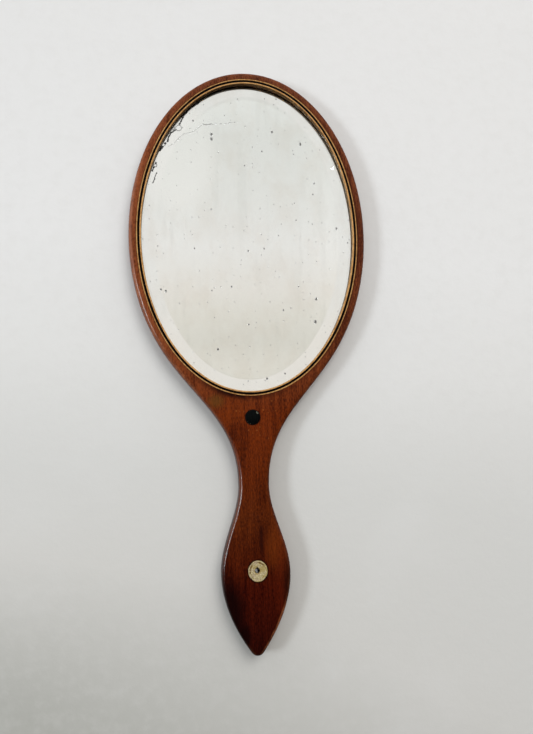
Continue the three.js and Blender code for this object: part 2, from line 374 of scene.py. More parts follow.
class Nodes:
    """Builds a node tree, a step at a time."""

    def __init__(self, tree):
        self.tree = tree
        self.tree.nodes.clear()

    def node(self, kind, feeds=None, **settings):
        """A node with its settings, and with values or links for its inputs."""
        made = self.tree.nodes.new(kind)
        for key, value in settings.items():
            setattr(made, key, value)
        for key, value in (feeds or {}).items():
            if isinstance(value, bpy.types.NodeSocket):
                self.tree.links.new(value, made.inputs[key])
            else:
                made.inputs[key].default_value = value
        return made

    def math(self, operation, a, b, clamp=False):
        return self.node("ShaderNodeMath", {0: a, 1: b}, operation=operation, use_clamp=clamp).outputs[0]

    def in_turn(self, operation, values):
        """One operation over several values, taken in order."""
        first, *rest = values
        for value in rest:
            first = self.math(operation, first, value)
        return first

    def add(self, *values):
        return self.in_turn("ADD", values)

    def times(self, *values):
        return self.in_turn("MULTIPLY", values)

    def most(self, *values):
        return self.in_turn("MAXIMUM", values)

    def without(self, a, b):
        """a where b is 0, and 0 where b is 1."""
        return self.times(a, self.math("SUBTRACT", 1, b))

    def length(self, a, b):
        """The length of a vector with two parts at right angles."""
        return self.math("SQRT", self.add(self.times(a, a), self.times(b, b)), 0)

    def vector(self, operation, a, b):
        made = self.node("ShaderNodeVectorMath", {0: a, 1: b}, operation=operation)
        return made.outputs["Value" if operation in ("DOT_PRODUCT", "DISTANCE") else "Vector"]

    def scaled(self, a, factor):
        return self.node("ShaderNodeVectorMath", {0: a, "Scale": factor}, operation="SCALE").outputs[0]

    def apart(self, vector):
        return self.node("ShaderNodeSeparateXYZ", {0: vector}).outputs

    def together(self, x, y, z):
        return self.node("ShaderNodeCombineXYZ", {0: x, 1: y, 2: z}).outputs[0]

    def step(self, value, low, high, out_low=0, out_high=1, kind="SMOOTHSTEP"):
        """Goes from out_low to out_high as value goes from low to high, and stays level outside."""
        limits = {"From Min": low, "From Max": high, "To Min": out_low, "To Max": out_high}
        made = self.node("ShaderNodeMapRange", {"Value": value, **limits}, interpolation_type=kind)
        return made.outputs[0]

    def band(self, value, low, high, soft):
        """1 between low and high, fading to 0 over soft on either side."""
        fall = self.step(value, high, high + soft, 1, 0)
        return self.times(self.step(value, low - soft, low), fall)

    def ramp(self, value, *stops):
        """A colour that runs through stops, each a value and the colour's three linear parts."""
        low, high = stops[0][0], stops[-1][0]
        made = self.node("ShaderNodeValToRGB", {0: self.step(value, low, high, kind="LINEAR")})
        elements = made.color_ramp.elements
        elements.remove(elements[1])
        for at, *colour in stops:
            place = (at - low) / (high - low)
            element = elements[0] if at == low else elements.new(place)
            element.position = place
            element.color = (*colour, 1)
        return made.outputs[0]

    def weighed(self, *pairs):
        """The sum of some values round a half, each times its weight."""
        return self.add(*(self.times(self.add(value, -0.5), weight) for value, weight in pairs))

    def mix(self, a, b, share):
        """Colour a, with b over it by share."""
        return self.node("ShaderNodeMix", {0: share, 6: a, 7: b}, data_type="RGBA").outputs[2]


class Paint(Nodes):
    """A node material, laid on coat by coat. Places in it are in millimetres in the row frame."""

    def __init__(self, name):
        self.material = bpy.data.materials.new(name)
        self.material.use_nodes = True
        super().__init__(self.material.node_tree)
        self.place = self.scaled(self.node("ShaderNodeTexCoord").outputs["Object"], 1 / MM)
        self.x, self.y, self.z = self.apart(self.place)

    def shades(self, value, *stops):
        """A ramp whose stops are each a value and a colour in 0 to 255 numbers."""
        return self.ramp(value, *((at, *srgb(*colour)[:3]) for at, *colour in stops))

    def coat(self, dark, pale, share):
        """The first coat: two colours, in 0 to 255 numbers, mixed by a share."""
        self.colour = self.mix(srgb(*dark), srgb(*pale), share)

    def over(self, colour, *shares):
        """A colour laid over the earlier coats, by a share or by several multiplied."""
        self.colour = self.mix(self.colour, srgb(*colour), self.times(*shares))

    def patch(self, centre, place, size, core, colour, share, texture=1):
        """A soft oval patch, full inside its core, at a place in millimetres from a centre."""
        middle = (centre[0] + place[0] * MM, centre[1] + place[1] * MM)
        reach = self.ellipse(middle, *size)
        self.over(colour, self.step(reach, 1, core, 0, share), texture)
        return reach

    def stretch(self, size, shift):
        """The place, with each axis divided by a feature size in millimetres."""
        scale = tuple(1 / length for length in size)
        feeds = {"Vector": self.place, "Scale": scale, "Location": (shift, shift, shift)}
        return self.node("ShaderNodeMapping", feeds, vector_type="POINT").outputs[0]

    def noise(self, size, detail, rough, shift=0, distort=0):
        """Smooth noise, 0 to 1, with features of a size along each axis."""
        feeds = {"Vector": self.stretch(size, shift), "Scale": 1, "Detail": detail}
        feeds.update({"Roughness": rough, "Distortion": distort})
        return self.node("ShaderNodeTexNoise", feeds).outputs["Fac"]

    def cells(self, where, dimensions):
        """The distance to the nearest of many scattered points, and that point's random number."""
        made = self.node("ShaderNodeTexVoronoi", {"Vector": where, "Scale": 1},
                         feature="F1", voronoi_dimensions=dimensions)
        return made.outputs["Distance"], self.apart(made.outputs["Color"])[0]

    def scattered(self, size, gap_limits, chance_limits, shift=0):
        """Scattered dots: 1 close to a cell's middle, in the cells whose random number is high."""
        gap, chance = self.cells(self.stretch(size, shift), "3D")
        return self.times(self.step(gap, *gap_limits), self.step(chance, *chance_limits))

    def specks(self, across, up, spacing, shift, commonness, radius):
        """Scattered round specks in the board's plane: 1 inside them. The sizes are in millimetres."""
        x, y = (self.add(self.times(value, 1 / spacing), shift) for value in (across, up))
        gap, chance = self.cells(self.together(x, y, 0), "2D")
        size = self.step(chance, 1 - commonness, 1, 0, radius, kind="LINEAR")
        inside = self.math("SUBTRACT", size, self.times(gap, spacing))
        return self.step(inside, 0, 0.35 * radius)

    def depth(self):
        """Millimetres below the board's front face."""
        return self.add(self.y, -FRONT / MM)

    def facing(self):
        """How squarely the surface faces front or back: 1 on the flats, 0 on the sides."""
        normal = self.node("ShaderNodeNewGeometry").outputs["Normal"]
        return self.math("ABSOLUTE", self.apart(normal)["Y"], 0)

    def from_centre(self, centre):
        """Millimetres across and up from a centre, given in metres."""
        return self.add(self.x, -centre[0] / MM), self.add(self.z, -centre[1] / MM)

    def ellipse(self, centre, half_width, half_height):
        """0 at an ellipse's centre, 1 on its outline. The half sizes are in millimetres."""
        across, up = self.from_centre(centre)
        return self.length(self.times(across, 1 / half_width), self.times(up, 1 / half_height))

    def from_oval(self, offset):
        """Millimetres outwards from one of the head's ovals, true close to it."""
        wide = (OVAL_HALF_WIDTH + offset) / MM
        tall = (OVAL_HALF_HEIGHT + offset) / MM
        across, up = self.from_centre((0, HEAD_Z))
        across, up = self.times(across, 1 / wide), self.times(up, 1 / tall)
        reach = self.length(across, up)
        slope = self.length(self.times(across, 1 / wide), self.times(up, 1 / tall))
        return self.math("DIVIDE", self.times(self.add(reach, -1), reach), self.most(slope, 1e-4))

    def stroke(self, where, points, width, soft):
        """1 near a line through points, each across and up from the head's centre."""
        gaps = []
        for start, end in zip(points, points[1:]):
            run = Vector((end[0] - start[0], 0, end[1] - start[1]))
            reach = self.vector("SUBTRACT", where, (start[0], 0, start[1]))
            share = self.times(self.vector("DOT_PRODUCT", reach, run), 1 / run.length_squared)
            share = self.math("MINIMUM", self.most(share, 0), 1)
            gaps.append(self.vector("DISTANCE", reach, self.scaled(self.together(*run), share)))
        nearest = self.in_turn("MINIMUM", gaps)
        return self.step(nearest, width / 2, width / 2 + soft, 1, 0)

    def bump(self, height, depth, below=None):
        """A bump whose height runs 0 to 1 over a depth in millimetres, laid over another one."""
        feeds = {"Strength": 1, "Distance": depth * MM, "Height": height}
        if below is not None:
            feeds["Normal"] = below
        return self.node("ShaderNodeBump", feeds).outputs[0]

    def cover(self, shader):
        """Ends the tree in a shader."""
        self.node("ShaderNodeOutputMaterial", {"Surface": shader.outputs[0]})
        return self.material

    def finish(self, roughness, normal=None, shine=0.5, **more):
        """The material, from its coats and the named inputs of the shader."""
        feeds = {key.replace("_", " "): value for key, value in more.items()}
        feeds.update({"Base Color": self.colour, "Roughness": roughness, "Specular IOR Level": shine})
        if normal is not None:
            feeds["Normal"] = normal
        return self.cover(self.node("ShaderNodeBsdfPrincipled", feeds))


# ======== Materials ========

def wood_grain(p, shift):
    """Mahogany's figure: broad ribbons, fine lines, and open pores, all running up the board."""
    ribbons = p.noise((6, 6, 75), 3, 0.5, shift, 0.5)
    lines = p.noise((0.9, 0.9, 17), 4, 0.66, shift + 5, 0.3)
    flecks = p.noise((0.5, 0.5, 2), 3, 0.6, shift + 2)
    dashes = p.noise((0.15, 0.15, 2.2), 1, 0.5, shift + 9)
    return ribbons, lines, flecks, p.step(dashes, 0.61, 0.7)


def mahogany():
    """Old waxed mahogany: darker down the handle, worn on its edges, stained round inlays, with painted
    highlight and painted shade on its edges.
    """
    p = Paint("mahogany")
    ribbons, lines, flecks, pores = wood_grain(p, 1)
    light = p.shades(
        p.z, (0, 52, 12, 6), (40, 79, 22, 6), (78, 98, 42, 12), (105, 107, 42, 10),
        (140, 111, 44, 11), (175, 134, 70, 37), (300, 130, 69, 40), (350, 116, 63, 38),
    )
    dark = p.shades(
        p.z, (0, 18, 2, 1), (40, 35, 3, 1), (78, 46, 10, 3), (105, 52, 15, 3),
        (140, 48, 11, 3), (175, 70, 28, 13), (300, 66, 29, 15), (350, 52, 23, 12),
    )
    share = p.add(
        p.weighed((ribbons, 1.4), (lines, 1.7), (flecks, 2.4)),
        p.times(p.step(p.z, 130, 200), p.times(p.x, -0.004)),
        p.times(p.step(p.z, 95, 60), p.times(p.x, 0.008)),
    )
    p.colour = p.mix(dark, light, p.math("ADD", share, 0.5, clamp=True))

    # The handle: black where fingers grip it, painted shade down its right edge, warm under the palm, a
    # dark streak above the disc.
    disc = middle_of("bone_disc")
    grip = p.patch(disc, (-17, -25), (13, 32), 0.35, (10, 2, 2), 0.9)
    p.patch(disc, (-8, -37), (5, 11), 0.3, (10, 2, 2), 0.8)
    p.patch(disc, (19, -10), (7, 24), 0.3, (20, 7, 4), 0.65)
    p.patch(disc, (9, 13), (6, 17), 0.2, (106, 46, 11), 0.9, lines)
    p.patch(disc, (2.5, 18), (1.5, 13), 0.4, (34, 8, 5), 0.7)

    # The neck: an orange glow, an olive patch, and light specks round the dot.
    dot = middle_of("ebony_dot")
    p.patch(dot, (-13, 4), (15, 13), 0.2, (134, 58, 16), 0.6, flecks)
    p.patch(dot, (-21.5, 10), (7, 6), 0.2, (92, 66, 26), 0.45)
    specks = p.scattered((2.4, 2.4, 3.4), (0.22, 0.08), (0.55, 0.6))
    p.over((150, 84, 38), specks, p.step(p.ellipse(dot, 22, 17), 1.2, 0.5, 0, 0.6))
    p.over((28, 9, 5), pores, 0.55)

    facing = p.facing()
    worn = p.band(facing, 0.3, 0.86, 0.14)
    patchy = p.step(p.noise((3, 3, 9), 3, 0.6, 3), 0.35, 0.62)
    # A lighter band on the rounded edges: wear all round and at the tip's lower right, and a painted
    # highlight on the head's lower left rim, where the window's light falls.
    right_low = p.times(p.step(p.x, 0, 6), p.step(p.z, 38, 24))
    painted_highlight_rim = p.times(p.step(p.x, 0, -10), p.band(p.z, 170, 265, 40))
    wear_and_painted_highlight = p.add(0.1, p.times(p.most(right_low, painted_highlight_rim), 0.45))
    wear_and_painted_highlight = p.without(wear_and_painted_highlight, p.step(grip, 1.25, 0.8))
    p.over((158, 92, 54), wear_and_painted_highlight, worn, patchy)
    # Painted shade: the sides and the outer part of the rounding, turned away from the front, are
    # painted darker.
    p.over((34, 12, 7), p.step(facing, 0.55, 0.25), 0.75)

    stain = stains(p)
    p.over((26, 6, 4), stain)
    dings = p.scattered((7, 7, 9), (0.07, 0.035), (0.4, 0.45), 4)
    p.over((24, 8, 5), dings, 0.6)

    roughness = p.add(p.times(flecks, 0.2), 0.22, p.times(stain, 0.15), p.times(worn, -0.12))
    relief = p.add(p.times(lines, 0.5), p.times(p.add(pores, dings), -0.7))
    normal = p.bump(p.noise((3.5, 3.5, 12), 2, 0.5, 8), 0.05, p.bump(relief, 0.03))
    lit_edge = p.times(p.step(p.x, 8, -4), p.band(p.z, 60, 265, 40))
    level = p.add(p.times(worn, lit_edge, 0.42), 0.04)
    return p.finish(roughness, normal, level)


def stains(p):
    """Dark wax in the joints, and the stain below the stringing."""
    from_string = p.from_oval(from_line(outer_string_outer))
    patchy = p.noise((4, 4, 4), 3, 0.6, 6)
    joint = p.times(p.band(from_string, -1, 0.1, 0.35), p.step(patchy, 0.3, 0.6, 0.3, 0.9))
    low = p.times(p.step(p.z, 168, 150), p.step(p.x, 14, -6, 0.4, 1))
    below = p.times(p.step(from_string, 4, 0.2), low)
    right = p.times(p.step(from_string, 2, 0.2), p.step(p.x, 20, 50, 0, 0.45))
    found = [joint, p.times(below, p.step(patchy, 0.3, 0.55, 0.4, 1)), right]
    for node, spread in (("ebony_dot", 1.14), ("bone_disc", 1.2)):
        half_width, half_height = half_sizes(node)
        ring = p.ellipse(middle_of(node), half_width / MM, half_height / MM)
        found.append(p.times(p.step(ring, spread, 1), p.step(patchy, 0.25, 0.6, 0.5, 1)))
    return p.most(*found)


def panel_wood():
    """The pinned back panel: plainer, drier wood, greyed with dust and darker round its pins."""
    p = Paint("panel_wood")
    ribbons, lines, flecks, pores = wood_grain(p, 31)
    share = p.weighed((ribbons, 1.8), (lines, 1.6), (flecks, 0.8))
    p.coat((86, 48, 28), (140, 92, 58), p.math("ADD", share, 0.5, clamp=True))
    p.over((44, 22, 14), pores, 0.6)
    dust = p.noise((22, 22, 30), 4, 0.6, 4)
    p.over((122, 104, 86), p.step(dust, 0.5, 0.75, 0, 0.35))
    p.over((34, 18, 12), p.step(p.from_oval(REBATE_OFFSET), -3, -0.2, 0, 0.75))
    for pin in pin_nodes():
        p.over((30, 20, 16), p.step(p.ellipse(middle_of(pin), 1, 1), 2.6, 0.8, 0, 0.75))
    relief = p.add(p.times(lines, 0.6), p.times(pores, -0.8))
    roughness = p.add(p.times(dust, 0.2), 0.5)
    return p.finish(roughness, p.bump(relief, 0.06), 0.25)


def boxwood(name, pale, dark, grimy):
    """Yellowed boxwood string with fine flecks, its joints and depths brown, partly with old polish and
    partly as painted shade.
    """
    p = Paint(name)
    flecks = p.noise((0.8, 0.8, 1.6), 3, 0.6)
    patches = p.noise((5, 5, 7), 3, 0.55, 4)
    p.coat(dark, pale, p.step(flecks, 0.32, 0.62))
    p.over((122, 76, 34), p.step(patches, 0.45, 0.75, 0, grimy))
    depth = p.depth()
    # Painted shade along the top of the opening: there the lip and the downward-facing wall are painted
    # darker.
    top = p.step(p.from_centre((0, HEAD_Z))[1], 35, 80)
    lip = p.times(p.step(p.from_oval(from_line(opening)), 0.5, 0.1), p.step(top, 0, 0.6))
    p.over((104, 72, 38), lip, 0.7)
    # The inner wall is painted darker with depth, partly old polish and partly painted shade, and near
    # black where it meets the glass, as painted shade and grime.
    p.over((120, 92, 56), p.step(depth, 0.1, 0.5, 0, 0.75))
    p.over((106, 74, 40), top, p.step(depth, 0.1, 0.45, 0, 0.85))
    p.over((24, 23, 16), p.step(depth, 2.8, 3.25, 0, 0.94))
    return p.finish(0.42, p.bump(flecks, 0.02), 0.15)


def string_ebony():
    """The thin black line between the boxwood strings."""
    p = Paint("string_ebony")
    grain = p.noise((0.5, 0.5, 4), 3, 0.6)
    p.coat((4, 2, 1), (16, 9, 6), p.step(grain, 0.4, 0.75))
    return p.finish(0.5, p.bump(grain, 0.02), 0.04)


def dot_ebony():
    """The ebony dot: near black, with pale chips in its rim and a larger one at its upper right."""
    p = Paint("dot_ebony")
    grain = p.noise((0.35, 0.35, 4), 3, 0.6)
    p.coat((2, 3, 3), (12, 15, 15), p.step(grain, 0.42, 0.72))
    centre = middle_of("ebony_dot")
    radius = half_sizes("ebony_dot")[0] / MM
    rim = p.step(p.ellipse(centre, radius, radius), 0.8, 0.94)
    across, up = p.from_centre(centre)
    small_chips = p.times(p.specks(across, up, 1.4, 5, 0.4, 0.4), rim)
    large_chip = p.ellipse((centre[0] + 2.9 * MM, centre[1] + 2.9 * MM), 0.9, 1.1)
    chips = p.most(small_chips, p.step(large_chip, 1, 0.6))
    p.over((104, 104, 90), chips, 0.75)
    relief = p.add(grain, p.times(chips, -1.5))
    return p.finish(0.45, p.bump(relief, 0.03), 0.05)


def bone():
    """Old bone: speckled cream, yellowed in patches, with dirt in its turned groove."""
    p = Paint("bone")
    centre = middle_of("bone_disc")
    half_width, half_height = half_sizes("bone_disc")
    speckle = p.noise((0.5, 0.5, 0.7), 4, 0.7)
    patches = p.noise((2.2, 2.2, 2.2), 2, 0.5, 3)
    p.coat((118, 102, 62), (204, 190, 152), p.step(speckle, 0.36, 0.62))
    p.over((150, 128, 66), p.step(patches, 0.48, 0.66, 0, 0.7))
    p.over((158, 136, 118), p.step(patches, 0.44, 0.3, 0, 0.6))

    reach = p.ellipse(centre, half_width / MM, half_height / MM)
    across, up = p.from_centre(centre)
    dirty = p.step(p.add(p.times(up, 0.8), p.times(across, -0.6)), -2.5, 1.5)
    blotchy = p.step(p.noise((1.3, 1.3, 1.3), 2, 0.5, 9), 0.36, 0.56)
    groove = p.band(reach, GROOVE_REACH - 0.05, GROOVE_REACH + 0.04, 0.05)
    p.over((92, 66, 16), groove, p.times(dirty, blotchy))
    p.over((146, 116, 60), p.step(reach, 0.93, 1, 0, 0.6))

    hole_centre, radius = hanging_hole()[:2]
    hole_ring = p.ellipse((hole_centre[0], hole_centre[1] - 0.3 * MM), radius / MM, radius / MM)
    p.over((140, 116, 58), p.step(hole_ring, 1.6, 1.05, 0, 0.6))
    # Painted shade inside the hanging hole: darker with depth below the face.
    p.over((20, 14, 8), p.step(p.depth(), 0.25, 1.2))
    pits = p.scattered((0.6, 0.6, 0.6), (0.3, 0.12), (0.6, 0.7))
    p.over((120, 104, 66), pits, 0.6)
    return p.finish(0.42, p.bump(p.add(speckle, p.times(pits, -1)), 0.04), 0.3)


def plate_glass():
    """Old plate glass: a faint green cast and a faint wave."""
    p = Paint("plate_glass")
    p.colour = (0.985, 0.992, 0.982, 1)
    waves = p.noise((45, 45, 60), 1, 0.4)
    return p.finish(0, p.bump(waves, 0.008), Transmission_Weight=1, IOR=1.52)


# Lost silver, in millimetres across and up from the head's centre: lines as points and a width,
# and round spots as a place and a radius.
LIFTED_EDGE = (
    (((-28, 84.5), (-33, 81), (-38, 75.5)), 1.1),
    (((-37.5, 75.5), (-39, 72.5), (-40.3, 70)), 0.65),
    (((-42, 66.5), (-43.5, 66), (-46, 64), (-47.2, 61), (-47.5, 59)), 0.7),
    (((-49, 58), (-50.5, 56), (-52.5, 53.5)), 1.3),
    (((-54.7, 45.5), (-56, 43), (-57, 40.5)), 0.7),
    (((-54.5, 39.5), (-55.3, 36.5), (-56.8, 33)), 0.4),
)
HAIRLINE = ((-47, 56), (-44, 57.5), (-40, 62), (-37.5, 64), (-33, 65), (-29, 68), (-26, 70.2))
HAIRLINE_END = ((-26, 70.3), (-21, 70.2))
DOTTED_LINE = ((-21, 70.2), (-12, 71), (-4, 72))
BRIGHT_ISLANDS = ((-40.8, 67.6, 1.5), (-50.2, 57, 0.8), (-55.2, 44, 0.7), (-44.5, 67.5, 0.9))
FOX_SPOTS = (
    (-21, 64, 0.75), (-21, 61, 0.8), (34, 58.5, 0.7), (16.5, 66, 0.6), (55, 5, 0.6),
    (-50, -33.5, 0.6), (41, -39, 0.7), (40, -53, 0.8), (-19.5, -69, 0.6), (9.5, -87, 0.6),
)
ISLAND_RIM = 0.45            # width of the dark line round a bright island
SQUASH = 0.75                # a spot's width, as a share of its height
RAGGED = 1.7                 # how far the lines of lost silver wander
RAGGED_SCALE = 0.7


def spot_mask(p, where, spots, soft):
    """1 inside any of the round spots."""
    masks = []
    for across, up, radius in spots:
        gap = p.vector("DISTANCE", where, (across, 0, up))
        masks.append(p.step(gap, radius * (1 - soft), radius * (1 + soft), 1, 0))
    return p.most(*masks)


def lost_silver(p, flat):
    """Masks for the silver that is gone, the hairline crack, and the bright islands in it."""
    wander = p.node("ShaderNodeTexNoise", {"Vector": flat, "Scale": RAGGED_SCALE, "Detail": 3})
    push = p.vector("SUBTRACT", wander.outputs["Color"], (0.5, 0.5, 0.5))
    ragged = p.vector("ADD", flat, p.vector("MULTIPLY", push, (RAGGED, 0, RAGGED)))

    lost = p.most(*(p.stroke(ragged, points, width, 0.25) for points, width in LIFTED_EDGE))
    islands = spot_mask(p, flat, BRIGHT_ISLANDS, 0.2)
    rims = tuple((x, z, radius + ISLAND_RIM) for x, z, radius in BRIGHT_ISLANDS)
    lost = p.most(lost, p.times(spot_mask(p, flat, rims, 0.2), 0.8))
    lost = p.without(lost, islands)
    dots = p.step(p.noise((0.9, 0.9, 0.9), 0, 0.5, 2), 0.5, 0.6)
    crack = p.most(
        p.times(p.stroke(ragged, HAIRLINE, 0.12, 0.35), 0.4),
        p.times(p.stroke(ragged, HAIRLINE_END, 0.3, 0.35), 0.7),
        p.times(dots, p.times(p.stroke(ragged, DOTTED_LINE, 0.2, 0.3), 0.6)),
    )
    return lost, crack, islands


def old_silver():
    """The silvering, as seen through the glass: foxed with specks, lifting at its upper left, and
    painted whiter in places as painted reflection.
    """
    p = Paint("old_silver")
    across, up = p.from_centre((0, HEAD_Z))
    flat = p.together(across, 0, up)
    lost, crack, islands = lost_silver(p, flat)

    squashed = p.times(up, SQUASH)
    spots = tuple((x, SQUASH * z, radius) for x, z, radius in FOX_SPOTS)
    flaws = p.most(
        crack,
        p.times(spot_mask(p, p.vector("MULTIPLY", flat, (1, 0, SQUASH)), spots, 0.4), 0.9),
        p.times(p.specks(across, squashed, 10.5, 3, 0.6, 0.62), 0.8),
        p.times(p.specks(across, squashed, 4.2, 8, 0.6, 0.4), 0.6),
    )
    bloom = p.noise((16, 16, 22), 3, 0.6, 6)
    streaks = p.noise((7, 7, 60), 2, 0.5, 2)

    p.coat((247, 248, 247), (243, 242, 239), p.step(bloom, 0.4, 0.7))
    p.over((236, 237, 235), p.step(streaks, 0.5, 0.75, 0, 0.5))
    worn_ring = p.step(p.from_oval(from_line(opening)), -3, 0.5, 0, 0.15)
    p.over((214, 214, 204), worn_ring, p.step(bloom, 0.35, 0.6))
    # Painted reflection: the silver is painted whiter under the low bevel and over the upper left, where
    # brighter reflections show.
    bevel_painted_reflection = p.times(p.step(p.from_oval(BEVEL_OFFSET), -0.3, 0.2), p.step(up, -40, -62))
    p.over((255, 254, 252), bevel_painted_reflection, 0.65)
    p.patch((0, HEAD_Z), (-42, 50), (30, 44), 0.5, (255, 255, 254), 0.85)
    p.over((58, 56, 50), flaws)
    p.over((8, 12, 14), lost)
    p.over((255, 255, 255), islands)
    metallic = p.without(1, p.most(lost, p.times(flaws, 0.8)))
    roughness = p.add(0.02, p.times(p.most(lost, flaws), 0.5))
    return p.finish(roughness, Metallic=metallic)


def brass():
    """Pin brass, dulled brown, brighter where the hammer struck."""
    p = Paint("pin_brass")
    mottle = p.noise((0.35, 0.35, 0.35), 4, 0.6)
    p.coat((96, 70, 34), (184, 148, 80), p.step(mottle, 0.38, 0.64))
    return p.finish(p.step(mottle, 0.35, 0.65, 0.6, 0.32), p.bump(mottle, 0.03), Metallic=0.9)


def felt():
    """Green-grey packing felt: loose fibres lying every way."""
    p = Paint("felt")
    fibres = p.most(p.noise((0.2, 0.2, 1.6), 3, 0.6), p.noise((1.6, 0.2, 0.2), 3, 0.6, 4))
    clumps = p.noise((5, 5, 5), 3, 0.5, 2)
    p.coat((40, 50, 38), (86, 98, 74), p.step(fibres, 0.45, 0.7))
    p.over((60, 64, 46), p.step(clumps, 0.45, 0.7, 0, 0.6))
    return p.finish(0.95, p.bump(fibres, 0.3), Sheen_Weight=0.3)


def paper():
    """Yellowed rag paper with brown age spots."""
    p = Paint("paper")
    fibres = p.noise((0.5, 0.5, 1.4), 4, 0.65)
    p.coat((186, 166, 120), (212, 196, 154), p.step(fibres, 0.35, 0.65))
    p.over((142, 104, 60), p.scattered((9, 9, 9), (0.3, 0.1), (0.5, 0.7), 5), 0.6)
    return p.finish(0.9, p.bump(fibres, 0.03))


def card():
    """Grey-brown pasteboard, its layers showing at the cut edges."""
    p = Paint("card")
    layers = p.noise((3, 0.14, 3), 2, 0.5)
    fibres = p.noise((0.4, 0.4, 0.4), 4, 0.6, 3)
    p.coat((138, 114, 78), (184, 160, 118), p.step(fibres, 0.35, 0.65))
    p.over((104, 84, 56), p.step(p.facing(), 0.6, 0.2), p.step(layers, 0.45, 0.6))
    return p.finish(0.9, p.bump(p.add(fibres, layers), 0.04))


# ======== Pieces ========

def half_outline():
    """The right half of the board's outline, top to tip, read from the CAD board's side wall."""
    points = node_points("handle_frame")
    wall_level = abs(points[np.argmax(points[:, 0]), 1])
    wall = points[np.isclose(np.abs(points[:, 1]), wall_level, atol=0.02 * MM)]
    wall = wall[wall[:, 0] > -0.01 * MM]
    outline = []
    for z in levels(wall[:, 2], 0.01 * MM)[::-1]:
        outline.append((wall[np.abs(wall[:, 2] - z) < 0.01 * MM][:, 0].max(), z))
    return np.array(outline), wall_level


def smooth_loop(points, count):
    """A closed curve through the points, at equal steps along it, with its outward normals."""
    span = np.linalg.norm(np.roll(points, -1, 0) - points, axis=1)
    before, after = np.roll(points, 1, 0), np.roll(points, -1, 0)
    slope = (after - before) / (np.roll(span, 1) + span)[:, None]
    dense = []
    for i in range(len(points)):
        j = (i + 1) % len(points)
        for t in np.linspace(0, 1, CURVE_STEPS, endpoint=False):
            start_share = 2 * t**3 - 3 * t**2 + 1
            start_pull = (t**3 - 2 * t**2 + t) * span[i]
            end_pull = (t**3 - t**2) * span[i]
            dense.append(start_share * points[i] + start_pull * slope[i]
                         + (1 - start_share) * points[j] + end_pull * slope[j])
    dense = np.array(dense)
    length = np.linalg.norm(np.roll(dense, -1, 0) - dense, axis=1)
    along = np.concatenate([[0], np.cumsum(length)])
    closed = np.vstack([dense, dense[:1]])
    where = np.linspace(0, along[-1], count, endpoint=False)
    curve = np.stack([np.interp(where, along, closed[:, k]) for k in (0, 1)], axis=1)
    tangent = np.roll(curve, -2, 0) - np.roll(curve, 2, 0)
    tangent /= np.linalg.norm(tangent, axis=1)[:, None]
    normals = np.stack([-tangent[:, 1], tangent[:, 0]], axis=1)
    if np.sum((curve[0] - (0, HEAD_Z)) * normals[0]) < 0:
        normals = -normals
    return curve, normals


def make_board():
    """The one-piece board: a rounded-over blank, then its stepped opening, sockets and holes."""
    right, wall_level = half_outline()
    left = right[1:-1][::-1] * np.array([-1, 1])
    curve, outwards = smooth_loop(np.vstack([right, left]), OUTLINE_POINTS)
    on_head = np.clip((curve[:, 1] - HANDLE_END) / (HEAD_START - HANDLE_END), 0, 1)
    wear = np.array([noise.noise(Vector((*(place * WEAR_FINENESS), 0.5))) for place in curve])
    width = HANDLE_ROUND_OVER + (HEAD_ROUND_OVER - HANDLE_ROUND_OVER) * on_head
    width = (width + ROUND_OVER_WEAR * wear)[:, None]
    depth = -wall_level - FRONT

    def ring(inset, y):
        flat = curve - outwards * inset
        return np.stack([flat[:, 0], np.full(len(flat), y), flat[:, 1]], axis=1)

    def round_over(face, sign):
        rings = []
        for inset, short in quarter_round(ROUND_OVER_RINGS):
            rings.append(ring(width * inset, face + sign * depth * short))
        rings.append(ring(width + FACE_RING, face))
        return rings

    board = build("mahogany_board", *loft(round_over(FRONT, 1)[::-1] + round_over(BACK, -1)))
    cut_away(board, *opening_cutter())
    cut_away(board, *joined([dot_cutter(), disc_cutter()] + pin_cutters()))
    return adopt(board, mahogany(), "mahogany", "handle_frame")


def opening_cutter():
    """A stepped plug: string rebate, opening, glass pocket and panel rebate."""
    walls = (shifted(stringing_edge, SEAM), shifted(lining_edge, SEAM), POCKET_OFFSET, REBATE_OFFSET)
    edges = (FRONT - CUT_OVERSHOOT, STRING_FLOOR + SEAM, LINING_END, PANEL_FRONT - SEAM,
             BACK + CUT_OVERSHOOT)
    return loft(ovals(stepped(walls, edges)))


def dot_outline():
    """The dot's radius round its rim, with three chips out of it."""
    radius = half_sizes("ebony_dot")[0]

    def at(angle):
        chip = 0
        for place, spread, depth in ((0.75, 0.13, 0.35), (4.9, 0.1, 0.2), (5.5, 0.08, 0.14)):
            chip += depth * math.exp(-((angle - place) / spread) ** 2)
        return radius - chip * MM - 0.02 * MM * math.sin(9 * angle)
    return at


def disc_oval(grow=0):
    """The bone disc's plain oval radius, with its half sizes grown a little."""
    wide, tall = (size + grow for size in half_sizes("bone_disc"))
    return lambda angle: wide * tall / math.hypot(tall * math.cos(angle), wide * math.sin(angle))


def disc_outline():
    """The bone disc's radius round its rim: an oval with a few flats filed on it."""
    plain = disc_oval()
    flats = ((2.35, 0.965), (3.15, 0.985), (4, 0.95), (5.5, 0.975), (0.15, 0.98))

    def at(angle):
        reach = 1
        for place, share in flats:
            towards = math.cos(angle - place)
            if towards > share:
                reach = min(reach, share / towards)
        return reach * plain(angle)
    return at


def hanging_hole():
    """The worn hole through the bone disc: its centre, its radius, and its point's height."""
    points = node_points("bone_disc")[:, [0, 2]]
    reach = np.linalg.norm(points - np.array(middle_of("bone_disc")), axis=1)
    inner = points[reach < 0.5 * reach.max()]
    low, high = inner.min(0), inner.max(0)
    radius = float(high[0] - low[0]) / 2
    centre = (float(high[0] + low[0]) / 2, float(low[1]) + radius)
    return centre, radius, float(high[1]) - centre[1]


